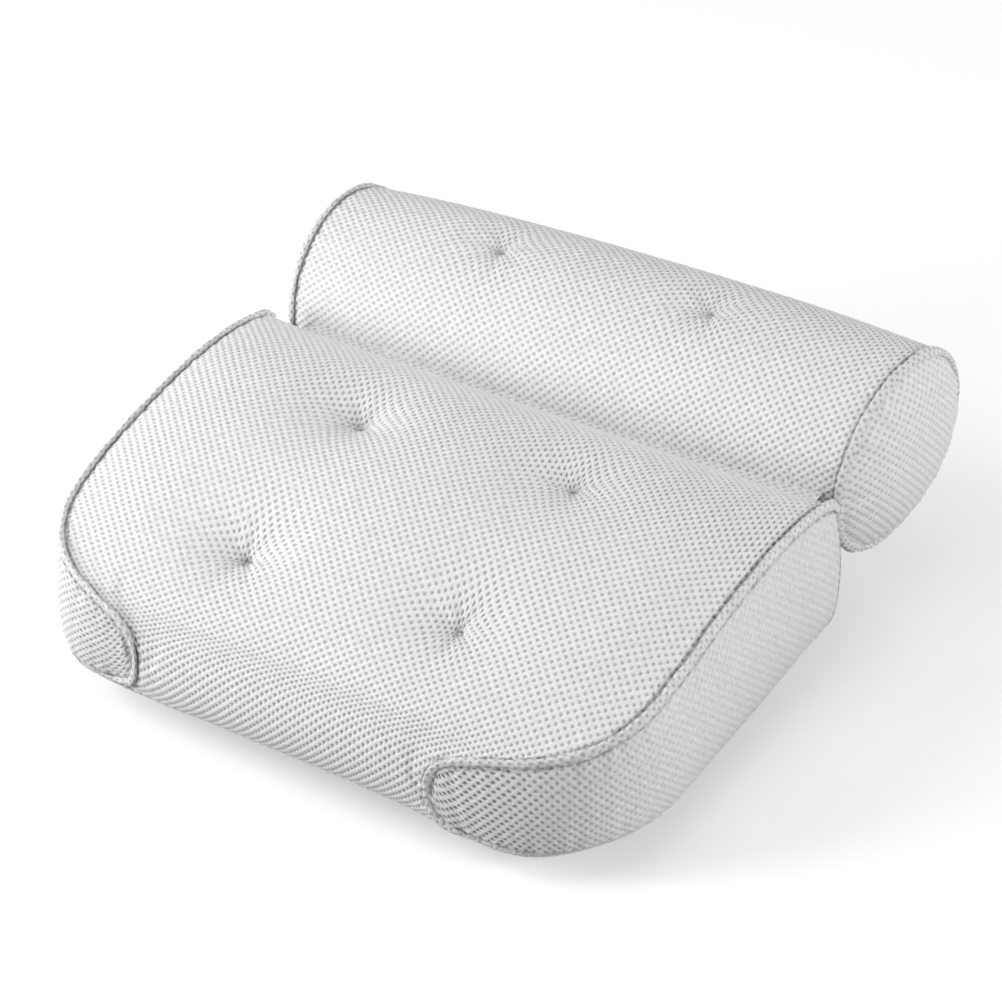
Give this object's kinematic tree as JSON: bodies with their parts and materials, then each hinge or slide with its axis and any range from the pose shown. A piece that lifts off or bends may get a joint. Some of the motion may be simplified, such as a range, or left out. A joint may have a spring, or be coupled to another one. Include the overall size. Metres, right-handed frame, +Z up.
{
  "type": "bath pillow",
  "caption": "White air-mesh bath pillow: a tufted wedge back cushion with a tufted neck roll behind it, joined by a folding seam, on suction cups.",
  "frame": {"origin": "under the middle of the pillow, in the plane of the suction cup rims", "axes": "+X to the right along the neck roll, +Y from the wedge's thin front edge to the neck roll, +Z up"},
  "size_m": [0.3938, 0.3739, 0.1557],
  "materials": {
    "air_mesh_white": "matte",
    "side_mesh_pale_grey": "matte",
    "piping_cloth": "matte",
    "mesh_wadding": "matte",
    "thread": "matte",
    "clear_vinyl": "satin"
  },
  "bodies": {
    "wedge": {"wedge_top_panel": "air_mesh_white", "wedge_side_panel_right": "side_mesh_pale_grey", "wedge_side_panel_left": "side_mesh_pale_grey", "wedge_base_panel": "air_mesh_white", "wedge_back_panel": "air_mesh_white", "wedge_piping_right": "piping_cloth", "wedge_piping_left": "piping_cloth", "wedge_filling_top_layer": "mesh_wadding", "wedge_filling_middle_layer": "mesh_wadding", "wedge_filling_base_layer": "mesh_wadding", "wedge_tuft_tie_back_left": "thread", "wedge_tuft_tie_back_right": "thread", "wedge_tuft_tie_front_left": "thread", "wedge_tuft_tie_front_right": "thread", "fold_flap_wedge": "side_mesh_pale_grey", "wedge_back_left_cup_loop": "piping_cloth", "wedge_back_right_cup_loop": "piping_cloth", "wedge_front_left_cup_loop": "piping_cloth", "wedge_front_right_cup_loop": "piping_cloth"},
    "roll": {"fold_flap_roll": "side_mesh_pale_grey", "roll_cover": "air_mesh_white", "roll_end_panel_right": "side_mesh_pale_grey", "roll_end_panel_left": "side_mesh_pale_grey", "roll_piping_right": "piping_cloth", "roll_piping_left": "piping_cloth", "roll_filling_wrap": "mesh_wadding", "roll_filling_core": "mesh_wadding", "roll_tuft_tie_left": "thread", "roll_tuft_tie_right": "thread", "roll_left_cup_loop": "piping_cloth", "roll_right_cup_loop": "piping_cloth"},
    "wedge_back_left_cup": {"wedge_back_left_cup": "clear_vinyl"},
    "wedge_back_right_cup": {"wedge_back_right_cup": "clear_vinyl"},
    "wedge_front_left_cup": {"wedge_front_left_cup": "clear_vinyl"},
    "wedge_front_right_cup": {"wedge_front_right_cup": "clear_vinyl"},
    "roll_left_cup": {"roll_left_cup": "clear_vinyl"},
    "roll_right_cup": {"roll_right_cup": "clear_vinyl"}
  },
  "joints": [
    {"name": "roll_fold", "type": "hinge", "parent": "wedge", "child": "roll", "pos_m": [0, 0.05642, 0.0977], "axis": [1, 0, 0], "range_deg": [-30, 60]},
    {"name": "wedge_back_left_cup_turn", "type": "hinge", "parent": "wedge", "child": "wedge_back_left_cup", "pos_m": [-0.1098, 0, 0.0095], "axis": [0, 0, 1], "continuous": true},
    {"name": "wedge_back_right_cup_turn", "type": "hinge", "parent": "wedge", "child": "wedge_back_right_cup", "pos_m": [0.1098, 0, 0.0095], "axis": [0, 0, 1], "continuous": true},
    {"name": "wedge_front_left_cup_turn", "type": "hinge", "parent": "wedge", "child": "wedge_front_left_cup", "pos_m": [-0.1098, -0.12272, 0.0095], "axis": [0, 0, 1], "continuous": true},
    {"name": "wedge_front_right_cup_turn", "type": "hinge", "parent": "wedge", "child": "wedge_front_right_cup", "pos_m": [0.1098, -0.12272, 0.0095], "axis": [0, 0, 1], "continuous": true},
    {"name": "roll_left_cup_turn", "type": "hinge", "parent": "roll", "child": "roll_left_cup", "pos_m": [-0.09612, 0.12392, 0.0095], "axis": [0, 0, 1], "continuous": true},
    {"name": "roll_right_cup_turn", "type": "hinge", "parent": "roll", "child": "roll_right_cup", "pos_m": [0.09612, 0.12392, 0.0095], "axis": [0, 0, 1], "continuous": true}
  ]
}
